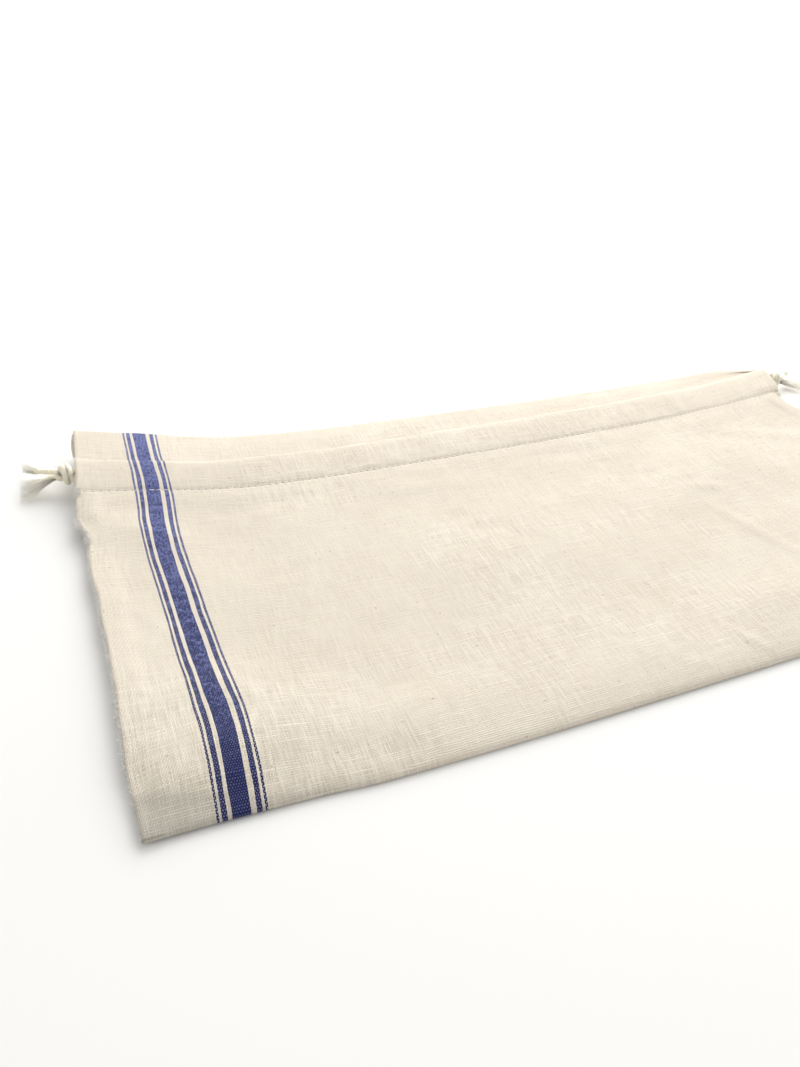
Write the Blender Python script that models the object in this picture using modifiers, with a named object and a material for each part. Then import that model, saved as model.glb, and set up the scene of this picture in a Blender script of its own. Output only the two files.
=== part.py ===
"""A linen bread bag with a double drawstring, lying empty and flat with its front up.

The bag is one strip of linen. It is folded across its middle, which is the bottom edge, and sewn
up both sides as far as the slits. Both ends of the strip are turned in and stitched down twice,
so that each half has a plain header at the lip and, below it, a casing. Two cords run through
the casings, and each is knotted to itself where it comes out at its own side.

Metres, +Z up. +X runs across the bag, +Y from the bottom fold to the lip. The origin is the
centre of the flat underside, on the surface that the bag lies on.
"""
import math

import bmesh
import bpy
from mathutils import Vector

# Driving dimensions, in metres.
BAG_WIDTH = 0.474
BAG_DEPTH = 0.260
HEADER_DEPTH = 0.021
CASING_DEPTH = 0.031
SLIT_FROM_FOLD = 0.190
CLOTH_THICKNESS = 0.001
CORD_RADIUS = 0.0016
KNOT_RADIUS = 0.0043        # from the knot's middle to the middle of the cord wrapped around it
KNOT_TURNS = 1.75
KNOT_PITCH = 0.00356        # from one wrapped turn to the next
HEM_INSET = 0.022           # how far the turned-in hem stops short of each side of the casing

# From here on, sizes and places are in millimetres.
MILLIMETRE = 0.001
WIDE = BAG_WIDTH / MILLIMETRE
DEEP = BAG_DEPTH / MILLIMETRE
CASING_HEAD = DEEP - HEADER_DEPTH / MILLIMETRE
CASING_FOOT = CASING_HEAD - CASING_DEPTH / MILLIMETRE
HEM_BUNCH = 90.0            # how far in from each side the hem's columns are bunched by its inset
SIDE_WANDER_REACH = 166.0   # how far in from each side its own straying is still felt
FOLD_SWELL_RUN = 12.0       # how far from the bottom fold the front has swelled to its full height

# Where the columns of the cloth stand, from the nearer side seam.
HALF_COLUMNS = (0, 1.8, 6, 13, 24, 40, 62, 90, 124, 164, 206)
COLUMNS = HALF_COLUMNS + tuple(WIDE - column for column in reversed(HALF_COLUMNS))

# The heights of the four layers of cloth, at the middle of their thickness.
# Each row is a section across the bag. The hem is there only from its stitched edge to the lip.
# from_fold, back_panel, back_hem, front_hem, front_panel
SECTIONS = (
    (1.3, 0.5, None, None, 2.3),
    (7.0, 0.5, None, None, 2.7),
    (20.0, 0.5, None, None, 2.4),
    (45.0, 0.5, None, None, 2.3),
    (72.0, 0.5, None, None, 2.3),
    (100.0, 0.5, None, None, 2.3),
    (128.0, 0.5, None, None, 2.4),
    (152.0, 0.5, None, None, 2.7),
    (172.0, 0.5, None, None, 3.2),
    (190.0, 0.5, None, None, 4.1),
    (204.0, 0.5, 1.7, 4.4, 5.6),
    (208.0, 0.5, 1.7, 4.6, 5.8),
    (210.8, 0.5, 3.4, 5.5, 6.9),
    (212.8, 0.5, 5.2, 6.7, 8.0),
    (214.5, 0.5, 5.8, 7.0, 8.4),
    (218.5, 0.5, 5.8, 7.0, 8.5),
    (220.3, 0.5, 5.2, 6.6, 8.4),
    (221.8, 0.5, 3.7, 5.5, 8.3),
    (223.4, 0.5, 1.9, 3.6, 8.2),
    (226.0, 0.5, 1.7, 3.1, 8.2),
    (232.2, 0.5, 1.7, 3.1, 8.2),
    (234.6, 0.5, 1.7, 3.1, 7.3),
    (236.2, 0.5, 1.7, 3.1, 5.5),
    (239.0, 0.5, 1.7, 3.1, 4.3),
    (249.0, 0.5, 1.8, 3.3, 4.7),
    (258.8, 0.5, 1.7, 3.1, 4.3),
)
FOLD_HEIGHT = 1.4           # the bottom fold's edge
BACK_LIP_HEIGHT = 1.1       # the back half's turned edge
FRONT_LIP_HEIGHT = 3.7      # the front half's turned edge

# How far each side of the lying bag strays outward from a true rectangle.
# from_fold, left, right
SIDE_WANDER = (
    (0, 0.0, 1.0),
    (45, 0.8, 1.5),
    (75, -0.4, 1.0),
    (112, -1.4, 0.5),
    (170, 0.0, -1.0),
    (184, 0.4, -5.0),
    (191, 3.4, -9.0),
    (200, 3.2, -11.5),
    (208, 1.0, -6.0),
    (222, -0.4, -2.5),
    (239, -1.4, -1.0),
    (260, -3.2, -1.0),
)
# How far the lying bag's cross lines stray toward the lip from true ones.
# across, fold, casing, lip
CROSS_WANDER = (
    (0, -2.0, 12.0, 17.0),
    (31, -2.5, 9.0, 16.0),
    (64, -3.0, 3.5, 8.0),
    (92, -3.0, 0.0, 2.5),
    (150, -1.0, -2.0, -1.5),
    (250, 3.0, 0.0, 0.0),
    (340, 6.0, 3.0, 1.0),
    (404, 7.0, 8.0, 3.0),
    (440, 6.0, 11.5, 4.5),
    (458, 5.0, 13.5, 0.0),
    (474, 4.0, 14.0, -6.0),
)
# How high the underside stands off the surface along each side, and how far in from that side
# the bag first touches down.
# from_fold, left_lift, left_reach, right_lift, right_reach
SIDE_LIFT = (
    (0, 5.0, 95, 0.6, 40),
    (40, 4.5, 80, 0.6, 40),
    (90, 4.5, 60, 1.0, 45),
    (150, 4.0, 60, 1.0, 50),
    (190, 4.5, 70, 1.0, 60),
    (208, 6.0, 85, 1.5, 70),
    (239, 8.5, 95, 2.5, 75),
    (260, 12.0, 100, 3.5, 75),
)
# Soft swells of the front half over the air caught in the bag.
# across, from_fold, half_width, half_depth, height
SWELLS = (
    (26, 172, 26, 24, 1.6),
    (58, 128, 34, 30, 1.2),
    (30, 62, 30, 30, 1.4),
    (110, 28, 60, 22, 1.5),
    (205, 120, 90, 60, 1.2),
    (318, 34, 56, 26, 1.8),
    (372, 150, 60, 44, 2.4),
    (428, 80, 40, 40, 1.6),
)
BACK_PANEL, BACK_HEM, FRONT_HEM, FRONT_PANEL = 1, 2, 3, 4
SEAM_RISE = 1.2             # how high each half stands off the side seam's line
SEAM_RUN = 1.8              # how far in from the seam the halves have parted
SEAM_SWELL = 14.0           # how far in from there the front has swelled to its full height
SEAM_ALLOWANCE = 7.0        # how far in from the seam the middle of its allowances lies
SEAM_RIDGE = 0.9            # how much those allowances lift the front
CROSSING_RISE = 1.2         # how much the crossing cords lift the front at the right end
CROSSING_REACH = 34.0       # how far in from the right side this reaches
CROSSING_RUN = 5.0          # how far from the casing's stitches it has reached its full height

# The drawcords' ways: each starts at the tip of the tail that runs through its
# knot, goes along the front casing, around the slit at the other side and back along the back
# casing, wraps around itself to close the knot, and ends at the tip of the other tail.
CORD_STRAIGHT = 24.0        # how far in from each side a cord's straight run in a casing begins
# across, from_fold, height, steps to the next row
LEFT_CORD_START = (
    (-27.0, 237.5, 2.4, 2),
    (-20.0, 233.5, 2.9, 2),
    (-12.0, 227.6, 3.9, 2),
    (-6.0, 226.0, 4.3, 2),
    (0.5, 226.6, 4.6, 2),
    (9.0, 230.2, 5.5, 2),
    (16.0, 231.8, 5.6, 1),
)
LEFT_CORD_BIGHT = (
    (458.0, 232.0, 5.1, 2),
    (466.0, 229.8, 3.7, 2),
    (469.2, 223.2, 3.0, 2),
    (466.0, 216.8, 3.0, 2),
    (458.0, 214.5, 3.0, 1),
)
LEFT_CORD_CLOSE = (
    (16.0, 214.6, 3.1, 1),
    (8.5, 215.6, 3.1, 2),
    (2.5, 218.6, 3.2, 2),
)
LEFT_CORD_TAIL = (
    (-12.2, 220.9, 0.6, 2),
    (-19.0, 219.6, 0.6, 2),
    (-27.0, 219.8, 0.4, 1),
)
RIGHT_CORD_START = (
    (501.0, 236.0, 2.6, 2),
    (494.0, 231.5, 3.6, 2),
    (486.0, 225.4, 5.1, 2),
    (480.0, 224.0, 5.6, 2),
    (472.5, 225.2, 6.5, 2),
    (464.0, 226.0, 6.7, 2),
    (457.0, 226.0, 6.2, 1),
)
RIGHT_CORD_BIGHT = (
    (17.0, 226.0, 5.3, 2),
    (12.9, 224.9, 4.7, 1),
    (11.5, 222.2, 4.1, 1),
    (12.9, 219.6, 3.4, 2),
    (17.0, 218.5, 3.0, 1),
)
RIGHT_CORD_CLOSE = (
    (454.0, 218.5, 3.1, 2),
    (463.5, 218.5, 6.6, 2),
    (471.5, 218.7, 6.4, 2),
)
RIGHT_CORD_TAIL = (
    (486.4, 218.6, 1.4, 2),
    (493.0, 217.0, 0.8, 2),
    (501.0, 218.0, 0.4, 1),
)
POINTS_PER_TURN = 8
# The knots' middles, just outside the casing's ends: across, from_fold, height.
LEFT_KNOT = (-5.4, 226.0, 4.3)
RIGHT_KNOT = (479.6, 224.0, 5.6)


def smooth(share):
    """An even ease from 0 to 1."""
    share = min(max(share, 0.0), 1.0)
    return share * share * (3.0 - 2.0 * share)


def look_up(table, key, column):
    """The value of one column of a table at key, read on an easing line between its rows."""
    if key <= table[0][0]:
        return table[0][column]
    for low, high in zip(table, table[1:]):
        if key <= high[0]:
            share = smooth((key - low[0]) / (high[0] - low[0]))
            return low[column] + (high[column] - low[column]) * share
    return table[-1][column]


def lift_at(across, from_fold):
    """How far the underside stands off the surface."""
    across = min(max(across, 0.0), WIDE)
    left = max(1.0 - across / look_up(SIDE_LIFT, from_fold, 2), 0.0)
    right = max(1.0 - (WIDE - across) / look_up(SIDE_LIFT, from_fold, 4), 0.0)
    return look_up(SIDE_LIFT, from_fold, 1) * left ** 2 + look_up(SIDE_LIFT, from_fold, 3) * right ** 2


def place(across, from_fold, height):
    """The point of the lying bag at across, from_fold and height, in metres."""
    left_share = 1.0 - smooth(across / SIDE_WANDER_REACH)
    right_share = 1.0 - smooth((WIDE - across) / SIDE_WANDER_REACH)
    x = across - left_share * look_up(SIDE_WANDER, from_fold, 1)
    x += right_share * look_up(SIDE_WANDER, from_fold, 2)
    fold_shift, casing_shift, lip_shift = (look_up(CROSS_WANDER, across, column) for column in (1, 2, 3))
    if from_fold < CASING_FOOT:
        shift = fold_shift + (casing_shift - fold_shift) * smooth(from_fold / CASING_FOOT)
    elif from_fold < CASING_HEAD:
        shift = casing_shift
    else:
        to_lip = smooth((from_fold - CASING_HEAD) / (DEEP - CASING_HEAD))
        shift = casing_shift + (lip_shift - casing_shift) * to_lip
    point = Vector((x - WIDE / 2, from_fold + shift - DEEP / 2, height + lift_at(across, from_fold)))
    return point * MILLIMETRE


def front_fullness(across, from_fold):
    """What the swells and the seam allowances add to the front half's height."""
    rise = 0.0
    for swell_across, swell_from_fold, half_width, half_depth, height in SWELLS:
        reach = math.hypot((across - swell_across) / half_width, (from_fold - swell_from_fold) / half_depth)
        rise += height * (1.0 - smooth(reach))
    from_side = min(across, WIDE - across)
    rise += SEAM_RIDGE * (1.0 - smooth(abs(from_side / SEAM_ALLOWANCE - 1.0)))
    return rise


def panel_height(across, section, layer):
    """The height of the front or back panel, drawn together at the sewn part of a side."""
    height = section[layer]
    from_fold = section[0]
    if layer == FRONT_PANEL and from_fold < CASING_FOOT:
        height += front_fullness(across, from_fold) * smooth(from_fold / FOLD_SWELL_RUN)
    elif layer == FRONT_PANEL and from_fold < CASING_HEAD:
        from_stitches = min(from_fold - CASING_FOOT, CASING_HEAD - from_fold)
        crossing = 1.0 - smooth((WIDE - across) / CROSSING_REACH)
        height += CROSSING_RISE * crossing * smooth(from_stitches / CROSSING_RUN)
    if from_fold > SLIT_FROM_FOLD / MILLIMETRE:
        return height
    from_side = min(across, WIDE - across)
    seam = section[BACK_PANEL] + SEAM_RISE
    if from_side == 0:
        return seam
    if layer == FRONT_PANEL:
        parted = smooth((from_side - SEAM_RUN) / SEAM_SWELL)
        return seam + SEAM_RISE + (height - seam - SEAM_RISE) * parted
    return height


def hem_across(across, from_fold):
    """The column's place on the turned-in hem, which stops short of the sides in the casing."""
    inset = HEM_INSET / MILLIMETRE * smooth((DEEP - from_fold) / (DEEP - CASING_HEAD))
    from_side = min(across, WIDE - across)
    inward = inset * (1.0 - smooth(from_side / HEM_BUNCH))
    return across + inward if across < WIDE / 2 else across - inward


def panel_row(section, layer):
    """The points of one section of the front or back panel, from side to side."""
    return [place(across, section[0], panel_height(across, section, layer)) for across in COLUMNS]


def hem_row(section, layer):
    """The points of one section of a turned-in hem, from side to side."""
    return [place(hem_across(across, section[0]), section[0], section[layer]) for across in COLUMNS]


def strip_rows():
    """The strip's rows from the front hem's edge, over the front and the back, to the back hem's."""
    hemmed = [section for section in SECTIONS if section[FRONT_HEM] is not None]
    rows = [hem_row(section, FRONT_HEM) for section in hemmed]
    rows.append([place(across, DEEP, FRONT_LIP_HEIGHT) for across in COLUMNS])
    rows += [panel_row(section, FRONT_PANEL) for section in reversed(SECTIONS)]
    rows.append([place(across, 0.0, FOLD_HEIGHT) for across in COLUMNS])
    rows += [panel_row(section, BACK_PANEL) for section in SECTIONS]
    rows.append([place(across, DEEP, BACK_LIP_HEIGHT) for across in COLUMNS])
    rows += [hem_row(section, BACK_HEM) for section in reversed(hemmed)]
    return rows


def material(name, colour, roughness):
    """A plain finish of one colour."""
    finish = bpy.data.materials.new(name)
    finish.use_nodes = True
    shader = finish.node_tree.nodes["Principled BSDF"]
    shader.inputs["Base Color"].default_value = (*colour, 1.0)
    shader.inputs["Roughness"].default_value = roughness
    shader.inputs["Metallic"].default_value = 0.0
    return finish


def make_cloth(collection, finish):
    """The folded strip, with its side seams closed as far as the slits, given its thickness."""
    mesh = bpy.data.meshes.new("bag_cloth")
    sheet = bmesh.new()
    rows = [[sheet.verts.new(point) for point in row] for row in strip_rows()]
    for low, high in zip(rows, rows[1:]):
        for left in range(len(COLUMNS) - 1):
            sheet.faces.new((low[left], low[left + 1], high[left + 1], high[left]))
    bmesh.ops.remove_doubles(sheet, verts=sheet.verts, dist=CLOTH_THICKNESS / 100)
    bmesh.ops.recalc_face_normals(sheet, faces=sheet.faces)
    for face in sheet.faces:
        face.smooth = True
    sheet.to_mesh(mesh)
    sheet.free()
    cloth = bpy.data.objects.new("bag_cloth", mesh)
    collection.objects.link(cloth)
    mesh.materials.append(finish)
    thickness = cloth.modifiers.new("cloth_thickness", "SOLIDIFY")
    thickness.thickness = CLOTH_THICKNESS
    thickness.offset = 0.0
    return cloth


def casing_run(from_fold, height, rightward):
    """A cord's straight way along a casing, with a point at each of the cloth's inner columns."""
    columns = [column for column in COLUMNS if CORD_STRAIGHT <= column <= WIDE - CORD_STRAIGHT]
    if not rightward:
        columns.reverse()
    return tuple((column, from_fold, height, 1) for column in columns)


def knot_wraps(middle, outward):
    """The turns that the cord's second end takes around its first, working away from the bag."""
    radius, pitch = KNOT_RADIUS / MILLIMETRE, KNOT_PITCH / MILLIMETRE
    wraps = []
    for index in range(round(POINTS_PER_TURN * KNOT_TURNS) + 1):
        turn = index / POINTS_PER_TURN
        along = outward * pitch * (turn - KNOT_TURNS / 2)
        angle = math.tau * turn
        wraps.append((middle[0] + along, middle[1] - radius * math.cos(angle),
                      middle[2] + radius * math.sin(angle), 1))
    return tuple(wraps)


def cord_line(route):
    """A smooth line along a route's rows, laid into the bag."""
    points = [Vector(row[:3]) for row in route]
    flat = [points[0]]
    for index in range(len(points) - 1):
        start, end = points[index], points[index + 1]
        before = points[max(index - 1, 0)]
        after = points[min(index + 2, len(points) - 1)]
        reach = (end - start).length
        leave = (end - before).normalized() * reach
        arrive = (after - start).normalized() * reach
        steps = route[index][3]
        for step in range(1, steps + 1):
            t = step / steps
            flat.append(start * (2 * t ** 3 - 3 * t ** 2 + 1) + end * (3 * t ** 2 - 2 * t ** 3)
                        + leave * (t ** 3 - 2 * t ** 2 + t) + arrive * (t ** 3 - t ** 2))
    return [place(*point) for point in flat]


def left_cord_route():
    """The left cord's way, the outer one in both casings."""
    out = casing_run(232.0, 5.7, True)
    back = casing_run(214.5, 3.0, False)
    return (LEFT_CORD_START + out + LEFT_CORD_BIGHT + back + LEFT_CORD_CLOSE
            + knot_wraps(LEFT_KNOT, -1) + LEFT_CORD_TAIL)


def right_cord_route():
    """The right cord's way, the inner one in both casings."""
    out = casing_run(226.0, 5.7, False)
    back = casing_run(218.5, 3.0, True)
    return (RIGHT_CORD_START + out + RIGHT_CORD_BIGHT + back + RIGHT_CORD_CLOSE
            + knot_wraps(RIGHT_KNOT, 1) + RIGHT_CORD_TAIL)


def make_cord(name, route, collection, finish):
    """A round cord along a route, with closed ends."""
    line = cord_line(route)
    curve = bpy.data.curves.new(name, "CURVE")
    curve.dimensions = "3D"
    curve.bevel_depth = CORD_RADIUS
    curve.bevel_resolution = 2
    curve.use_fill_caps = True
    spline = curve.splines.new("POLY")
    spline.points.add(len(line) - 1)
    for point, position in zip(spline.points, line):
        point.co = (*position, 1.0)
    curve.materials.append(finish)
    cord = bpy.data.objects.new(name, curve)
    collection.objects.link(cord)
    return cord


def main():
    for item in list(bpy.data.objects):
        bpy.data.objects.remove(item, do_unlink=True)
    collection = bpy.data.collections.new("linen_bread_bag")
    bpy.context.scene.collection.children.link(collection)
    make_cloth(collection, material("natural_linen", (0.80, 0.74, 0.62), 0.9))
    left_cotton = material("left_cord_cotton", (0.86, 0.80, 0.68), 0.85)
    right_cotton = material("right_cord_cotton", (0.86, 0.80, 0.68), 0.85)
    make_cord("drawcord_left", left_cord_route(), collection, left_cotton)
    make_cord("drawcord_right", right_cord_route(), collection, right_cotton)


main()
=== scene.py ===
"""A linen bread bag, lying empty with its front up: its twisted drawcords, its woven and striped
cloth, its stitching and the fibres that stand off its edges.

Sizes are in millimetres and turned into metres where a mesh is made. Places on the bag are given
on the bag lying true: across, from its left side, and from_fold, up from its bottom fold.
"""
import math

import bmesh
import bpy
import numpy as np
from mathutils import Matrix, Vector


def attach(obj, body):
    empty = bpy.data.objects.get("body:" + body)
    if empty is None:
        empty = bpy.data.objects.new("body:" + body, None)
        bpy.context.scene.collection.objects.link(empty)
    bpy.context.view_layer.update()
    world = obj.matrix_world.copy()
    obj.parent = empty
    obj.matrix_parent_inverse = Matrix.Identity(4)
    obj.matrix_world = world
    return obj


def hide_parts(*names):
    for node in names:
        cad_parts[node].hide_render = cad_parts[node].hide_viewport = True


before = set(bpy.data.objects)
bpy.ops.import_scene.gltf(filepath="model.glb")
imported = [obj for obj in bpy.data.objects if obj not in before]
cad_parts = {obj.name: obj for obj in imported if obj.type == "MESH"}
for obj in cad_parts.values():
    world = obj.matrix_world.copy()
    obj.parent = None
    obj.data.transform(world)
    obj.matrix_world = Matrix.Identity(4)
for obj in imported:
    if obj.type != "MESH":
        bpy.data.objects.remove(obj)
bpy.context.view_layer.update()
MILLIMETRE = 0.001

# ---- The camera -----------------------------------------------------------------------------
# It is held over the bag's near left corner and looks down across the bag to its far right one,
# turned a little about its own axis, so the bag's right end runs out of the picture.
CAMERA_OFF_CORNER = (0.0, -206.0, 280.0)    # right of, beyond and above the near left corner
CAMERA_TURN, CAMERA_DIP, CAMERA_ROLL = -23.59, 35.80, 4.0
CAMERA_LENS, CAMERA_SENSOR = 30.37, 36.0


def add_camera(corner):
    """The camera in its place off the bag's near left corner."""
    data = bpy.data.cameras.new("camera")
    data.sensor_width, data.lens = CAMERA_SENSOR, CAMERA_LENS
    data.clip_start, data.clip_end = 0.01, 50.0
    camera = bpy.data.objects.new("camera", data)
    turn = Matrix.Rotation(math.radians(CAMERA_TURN), 4, "Z")
    dip = Matrix.Rotation(math.radians(90.0 - CAMERA_DIP), 4, "X")
    roll = Matrix.Rotation(math.radians(CAMERA_ROLL), 4, "Z")
    place = Matrix.Translation(corner + Vector(CAMERA_OFF_CORNER) * MILLIMETRE)
    camera.matrix_world = place @ turn @ dip @ roll
    bpy.context.scene.collection.objects.link(camera)
    bpy.context.scene.camera = camera


WIDE, DEEP = 474.0, 260.0
add_camera(Vector((-WIDE / 2, -DEEP / 2, 0.0)) * MILLIMETRE)

# ---- The drawcords --------------------------------------------------------------------------
# Two lengths of soft three-ply cotton cord. Each runs through both casings, around the slit at
# the far side and back, and one of its ends is wound around the other and drawn tight to a knot.
# The tails beyond the knots have come untwisted and spread like brushes.
CORD_RADIUS = 1.6
CORD_TIP = 0.1              # what is left of the radius at a tail's tip, as a share
CORD_PLIES = 3
CORD_TWIST = 11.0           # the length in which a ply goes once around
CORD_GROOVE = 0.16          # how deep the plies' grooves are, as a share of the radius
CORD_SIDES = 18
CORD_STEP = 1.2
KNOT_RADIUS = 3.5           # from a knot's middle to the middle of the cord wound around it
KNOT_TURNS, KNOT_PITCH = 1.75, 2.5
KNOT_LEAN = 0.18            # how far a turn leans outward for each millimetre toward the lip
KNOT_SQUASH = 1.5           # how much thicker the wound cord stands off the knot's middle
KNOT_SPREAD = 1.25          # how much wider it is along the knot
KNOT_REACH, KNOT_HEART = 4.4, 2.2       # half the knot's length, and what runs straight through it
KNOT_BLEND = 1.2            # over how much the squash and the spread set in
# How far each side of the lying bag strays outward from a true rectangle.
# from_fold, left, right
SIDE_WANDER = (
    (0, 0.0, 1.0),
    (45, 0.8, 1.5),
    (75, -0.4, 1.0),
    (112, -1.4, 0.5),
    (170, 0.0, -1.0),
    (184, 0.2, -5.0),
    (191, 0.3, -9.0),
    (200, 0.4, -11.5),
    (208, 0.4, -6.0),
    (222, -0.4, -2.5),
    (239, -1.4, -1.0),
    (260, -3.2, -1.0),
)
SIDE_WANDER_REACH = 166.0
# How far the left side strays outward beyond that, near the side alone: a flare over the slit.
# from_fold, outward
SLIT_FLARE = (
    (0, 0.0),
    (30, 0.2),
    (49, -0.5),
    (72, 0.0),
    (98, 0.8),
    (113, 1.4),
    (127, 0.8),
    (142, 1.8),
    (152, 1.3),
    (165, 0.1),
    (172, -0.3),
    (177, 0.8),
    (181, 2.4),
    (185, 3.2),
    (192, 2.2),
    (203, 1.2),
    (213, 0.2),
    (222, 0.0),
)
SLIT_FLARE_REACH = 26.0
# How far the lying bag's cross lines stray toward the lip from true ones.
# across, fold, casing, lip
CROSS_WANDER = (
    (0, 0.4, 12.0, 17.0),
    (31, 0.9, 9.0, 17.0),
    (64, 0.6, 3.5, 11.0),
    (92, -0.8, 0.0, 6.0),
    (150, 0.0, -2.0, 1.0),
    (250, 3.0, 0.0, 0.0),
    (340, 6.0, 3.0, 1.0),
    (404, 7.0, 8.0, 3.0),
    (440, 6.0, 11.5, 4.5),
    (458, 5.0, 13.5, 0.0),
    (474, 4.0, 14.0, -6.0),
)
# How high the underside stands off the surface along each side, and how far in from that side
# the bag first touches down.
# from_fold, left_lift, left_reach, right_lift, right_reach
SIDE_LIFT = (
    (0, 0.9, 95, 0.6, 40),
    (22, 2.7, 88, 0.6, 40),
    (45, 4.4, 80, 0.6, 40),
    (90, 4.5, 60, 1.0, 45),
    (150, 4.0, 60, 1.0, 50),
    (190, 4.5, 70, 1.0, 60),
    (208, 6.0, 85, 1.5, 70),
    (239, 8.5, 95, 2.5, 75),
    (260, 12.0, 100, 3.5, 75),
)
# How far the cloth is pulled sideways within itself, which makes its stripe wind.
# from_fold, rightward
STRIPE_DRIFT = (
    (0, -1.6),
    (20, 0.4),
    (44, 1.7),
    (62, 0.6),
    (88, -1.1),
    (116, -2.3),
    (151, -2.5),
    (181, -1.4),
    (196, 0.2),
    (212, 1.1),
    (232, 0.0),
    (260, -1.1),
)
STRIPE_DRIFT_MIDDLE, STRIPE_DRIFT_REACH = 38.0, 38.0
CASING_HEAD, CASING_FOOT = 239.0, 208.0     # the two lines of stitching
# A cord's way, from the tip of the tail that runs straight through its knot, out along the front
# casing, around the far slit, and back along the back casing to where it closes the knot.
# across, from_fold, height
LEFT_CORD_WAY = (
    (-28.6, 246.8, -3.8),
    (-20.5, 240.0, -1.0),
    (-11.8, 231.9, 2.9),
    (-6.0, 227.6, 4.5),
    (0.5, 226.6, 4.6),
    (9.0, 230.2, 5.5),
    (16.0, 231.8, 5.6),
    (24.0, 232.0, 5.7),
    (124.0, 232.0, 5.7),
    (350.0, 232.0, 5.7),
    (450.0, 232.0, 5.7),
    (458.0, 232.0, 5.1),
    (466.0, 229.8, 3.7),
    (469.2, 223.2, 3.0),
    (466.0, 216.8, 3.0),
    (458.0, 214.5, 3.0),
    (350.0, 214.5, 3.0),
    (124.0, 214.5, 3.0),
    (24.0, 214.5, 3.0),
    (16.0, 214.6, 3.1),
    (8.5, 215.6, 3.1),
    (2.5, 218.6, 3.2),
)
LEFT_KNOT = (-5.4, 226.0, 4.3)
LEFT_CORD_TAIL = (
    (-11.0, 227.0, 2.8),
    (-14.3, 227.4, 2.2),
    (-19.6, 227.8, 0.0),
    (-28.2, 228.4, -3.8),
)
RIGHT_CORD_WAY = (
    (501.0, 236.0, 2.6),
    (494.0, 231.5, 3.6),
    (486.0, 225.4, 5.1),
    (480.0, 224.0, 5.6),
    (472.5, 225.2, 6.5),
    (464.0, 226.0, 6.7),
    (457.0, 226.0, 6.2),
    (450.0, 226.0, 5.7),
    (350.0, 226.0, 5.7),
    (124.0, 226.0, 5.7),
    (24.0, 226.0, 5.7),
    (17.0, 226.0, 5.3),
    (12.9, 224.9, 4.7),
    (11.5, 222.2, 4.1),
    (12.9, 219.6, 3.4),
    (17.0, 218.5, 3.0),
    (124.0, 218.5, 3.0),
    (350.0, 218.5, 3.0),
    (450.0, 218.5, 3.0),
    (454.0, 218.5, 3.1),
    (463.5, 218.5, 6.6),
    (471.5, 218.7, 6.4),
)
RIGHT_KNOT = (479.6, 224.0, 5.6)
RIGHT_CORD_TAIL = (
    (485.4, 223.8, 4.6),
    (488.8, 222.8, 3.8),
    (493.5, 221.0, 2.6),
    (501.0, 218.8, 1.6),
)
# How a tail's end has come apart: how long its brush is and how far it spreads toward the lip,
# toward the fold and upward, and how many fibres show.
# length, lipward, foldward, upward, fibres
LONG_TAIL_BRUSH = (12.0, 3.4, 2.6, 1.4, 240)
SPREAD_TAIL_BRUSH = (19.0, 6.8, 10.5, 1.8, 560)
THINNED_SHARE = 0.8         # how much of a brush's length the cord itself thins out over
BRUSH_ROOT_RADIUS, BRUSH_TIP_RADIUS = 0.15, 0.05
BRUSH_LOWEST = 0.3          # how near the surface a fibre's middle comes
OFF_WAY = (0.31, 0.17, 0.93)            # a way that fine threads don't run


def smooth(share):
    """An even ease from 0 to 1."""
    share = np.clip(share, 0.0, 1.0)
    return share * share * (3.0 - 2.0 * share)


def read_rows(rows, column, at):
    """A column of a table at each place in at, on an even curve through the rows."""
    keys = np.array([row[0] for row in rows], float)
    values = np.array([row[column] for row in rows], float)
    spans = np.diff(keys)
    slopes = np.diff(values) / spans
    before, after = slopes[:-1], slopes[1:]
    same_way = before * after > 0
    lean = np.concatenate([slopes[:1], np.zeros(len(before)), slopes[-1:]])
    lean[1:-1][same_way] = 2 * before[same_way] * after[same_way] / (before + after)[same_way]
    at = np.clip(np.asarray(at, float), keys[0], keys[-1])
    index = np.clip(np.searchsorted(keys, at, side="right") - 1, 0, len(spans) - 1)
    t = (at - keys[index]) / spans[index]
    return (values[index] * (1 + 2 * t) * (1 - t) ** 2 + values[index + 1] * t * t * (3 - 2 * t)
            + spans[index] * (lean[index] * t * (1 - t) ** 2 - lean[index + 1] * t * t * (1 - t)))


def lift_at(across, from_fold):
    """How far the underside stands off the surface."""
    across = np.clip(across, 0.0, WIDE)
    left = np.maximum(1.0 - across / read_rows(SIDE_LIFT, 2, from_fold), 0.0)
    right = np.maximum(1.0 - (WIDE - across) / read_rows(SIDE_LIFT, 4, from_fold), 0.0)
    return read_rows(SIDE_LIFT, 1, from_fold) * left ** 2 + read_rows(SIDE_LIFT, 3, from_fold) * right ** 2


def lay(across, from_fold, height):
    """Points on the true bag, laid as the real one lies, in metres."""
    across, from_fold, height = np.broadcast_arrays(across, from_fold, height)
    x = across - (1.0 - smooth(across / SIDE_WANDER_REACH)) * read_rows(SIDE_WANDER, 1, from_fold)
    x = x + (1.0 - smooth((WIDE - across) / SIDE_WANDER_REACH)) * read_rows(SIDE_WANDER, 2, from_fold)
    x = x - (1.0 - smooth(across / SLIT_FLARE_REACH)) * read_rows(SLIT_FLARE, 1, from_fold)
    nearness = 1.0 - smooth(np.abs(across - STRIPE_DRIFT_MIDDLE) / STRIPE_DRIFT_REACH)
    x = x + nearness * read_rows(STRIPE_DRIFT, 1, from_fold)
    fold, casing, lip = (read_rows(CROSS_WANDER, column, across) for column in (1, 2, 3))
    shift = fold + (casing - fold) * smooth(from_fold / CASING_FOOT)
    shift = shift + (lip - casing) * smooth((from_fold - CASING_HEAD) / (DEEP - CASING_HEAD))
    z = height + lift_at(across, from_fold)
    return np.stack([x - WIDE / 2, from_fold + shift - DEEP / 2, z], axis=-1) * MILLIMETRE


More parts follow.
